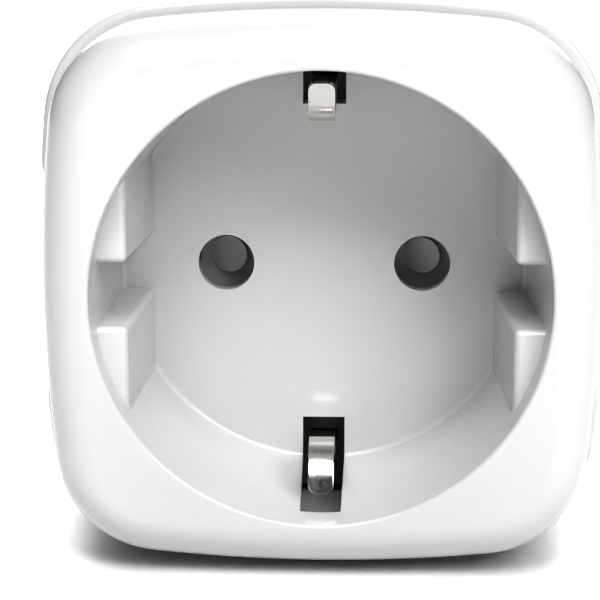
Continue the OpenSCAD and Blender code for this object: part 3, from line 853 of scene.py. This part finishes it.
class METER_OT_finishes(bpy.types.Operator):
    """Give every carried-over node its finish"""
    bl_idname = "meter.finishes"
    bl_label = "Finishes"

    def execute(self, context):
        c = colours()
        palette = {
            "button_white": moulded_gloss("button_gloss", tuple(c.housing)),
            "cage_white": moulded_matte("cage_plain", (0.7, 0.7, 0.69)),
            "shutter_grey": moulded_matte("shutter_plain", tuple(c.shutter), 0.45),
            "nickel_pin": plated("pin_nickel", tuple(c.nickel), 0.16),
            "nickel_strip": plated("strip_nickel", tuple(c.nickel), 0.22),
            "zinc_steel": plated("zinc", (0.6, 0.6, 0.6), 0.35, (1, 1, 1)),
            "contact_brass": plated("stamped_brass", tuple(c.brass), 0.25),
            "dark_plastic": moulded_matte("filled_black", (0.06, 0.06, 0.06)),
            "board_green": solder_resist("green_resist", tuple(c.board)),
            "chip_black": moulded_matte("epoxy_black", (0.02, 0.02, 0.02), 0.5),
            "relay_blue": moulded_gloss("relay_case", (0.02, 0.08, 0.36), 0.3),
            "coil_copper": enamelled_wire("coil_wire", (0.6, 0.22, 0.08)),
            "resistor_alloy": plated("bare_alloy", (0.42, 0.4, 0.37), 0.4),
            "radio_blue": solder_resist("blue_resist", (0.01, 0.03, 0.14)),
            "capacitor_yellow": moulded_gloss("film_case", (0.75, 0.48, 0.05), 0.3),
            "capacitor_sleeve": moulded_gloss("sleeve", (0.03, 0.04, 0.07), 0.3),
            "varistor_blue": moulded_gloss("dipped_epoxy", (0.02, 0.16, 0.36), 0.3),
            "fuse_brown": moulded_gloss("fuse_case", (0.18, 0.07, 0.02), 0.3),
            "ferrite_black": moulded_matte("ferrite", (0.04, 0.04, 0.045)),
            "header_gold": plated("gold_flash", (0.85, 0.62, 0.25), 0.25),
            "plunger_cream": moulded_matte("plunger_plain", (0.7, 0.62, 0.48)),
            "led_clear": clear_moulded("led_epoxy", (0.9, 0.9, 0.75)),
            "pipe_clear": clear_moulded("pipe_clear", (0.95, 0.97, 0.97)),
            "housing_white": moulded_gloss("white_gloss", tuple(c.housing)),
        }
        for row in frame["record"]["subparts"]:
            dress(row["node"], palette[row["material_slot"]])
        return {"FINISHED"}


class METER_OT_stage(bpy.types.Operator):
    """Lay the pale floor, hang the soft lights and set the camera"""
    bl_idname = "meter.stage"
    bl_label = "Stage"

    def execute(self, context):
        build_stage()
        return {"FINISHED"}


class METER_PT_pieces(bpy.types.Panel):
    bl_label = "Power Meter"
    bl_idname = "METER_PT_pieces"
    bl_space_type = "VIEW_3D"
    bl_region_type = "UI"
    bl_category = "Power Meter"

    def draw(self, context):
        for group in (context.scene.meter_sizes, context.scene.meter_colours):
            for name in group.bl_rna.properties.keys():
                if name not in ("rna_type", "name"):
                    self.layout.prop(group, name)
        for operator in OPERATORS:
            self.layout.operator(operator.bl_idname)


# ---------- stage ----------

LIGHT_REACH = 0.8
# name, degrees turned from the front to the right, degrees above the floor, size in m, power in W
LIGHTS = (
    ("key", 35, 37, 0.35, 4.1),
    ("front", 0, 56, 0.4, 5.8),
    ("low", -25, 10, 0.35, 0.4),
    ("rear", 180, 32, 0.7, 14.0),
)
AIR_STRENGTH = 0.04
VIEW_GAMMA = 0.68
LENS = 122.4
CAMERA_PLACE = (4.12 * MM, depth(-176.08), 41.67 * MM)
CAMERA_AHEAD = (-0.0325, 0.9731, -0.2281)


def soft_box(name, turn, rise, size, power):
    """A square light aimed at the middle of the meter."""
    light = bpy.data.lights.new(name, "AREA")
    light.shape = "SQUARE"
    light.size = size
    light.energy = power
    lamp = bpy.data.objects.new(name, light)
    turn, rise = math.radians(turn), math.radians(rise)
    towards = Vector((math.sin(turn) * math.cos(rise), -math.cos(turn) * math.cos(rise),
                      math.sin(rise)))
    lamp.location = Vector((0, depth(12), 0)) + towards * LIGHT_REACH
    lamp.rotation_euler = towards.to_track_quat("Z", "Y").to_euler()
    bpy.context.scene.collection.objects.link(lamp)


def build_stage():
    scene = bpy.context.scene
    bm = bmesh.new()
    bmesh.ops.create_grid(bm, x_segments=2, y_segments=2, size=2.0,
                          matrix=Matrix.Translation((0, 0, REST_Z)))
    floor = to_object("studio_floor", bm, studio_floor("pale_floor", tuple(colours().floor)))

    world = bpy.data.worlds.new("studio")
    world.use_nodes = True
    nodes = world.node_tree.nodes
    nodes.clear()
    air = nodes.new("ShaderNodeBackground")
    air.inputs["Color"].default_value = (1.0, 1.0, 1.0, 1.0)
    air.inputs["Strength"].default_value = AIR_STRENGTH
    world.node_tree.links.new(air.outputs[0], nodes.new("ShaderNodeOutputWorld").inputs["Surface"])
    scene.world = world
    scene.view_settings.view_transform = "Standard"
    scene.view_settings.gamma = VIEW_GAMMA

    for light in LIGHTS:
        soft_box(*light)

    camera = bpy.data.cameras.new("camera")
    camera.sensor_width = 36.0
    camera.lens = LENS
    camera.clip_start = 0.01
    camera.clip_end = 10
    view = bpy.data.objects.new("camera", camera)
    ahead = Vector(CAMERA_AHEAD).normalized()
    view.location = CAMERA_PLACE
    view.rotation_mode = "QUATERNION"
    view.rotation_quaternion = ahead.to_track_quat("-Z", "Y")
    scene.collection.objects.link(view)
    scene.camera = view


OPERATORS = (METER_OT_finishes, METER_OT_front_cover, METER_OT_rear_shell, METER_OT_earth_clips,
             METER_OT_spring, METER_OT_stage)
CLASSES = (MeterSizes, MeterColours, *OPERATORS, METER_PT_pieces)


def register():
    for cls in CLASSES:
        bpy.utils.register_class(cls)
    bpy.types.Scene.meter_sizes = PointerProperty(type=MeterSizes)
    bpy.types.Scene.meter_colours = PointerProperty(type=MeterColours)


def unregister():
    del bpy.types.Scene.meter_colours
    del bpy.types.Scene.meter_sizes
    for cls in reversed(CLASSES):
        bpy.utils.unregister_class(cls)


def corners(box):
    return [[float(v) for v in corner] for corner in box]


def main():
    register()
    for operator in OPERATORS:
        getattr(bpy.ops.meter, operator.bl_idname.split(".")[1])()


if __name__ == "__main__":
    main()
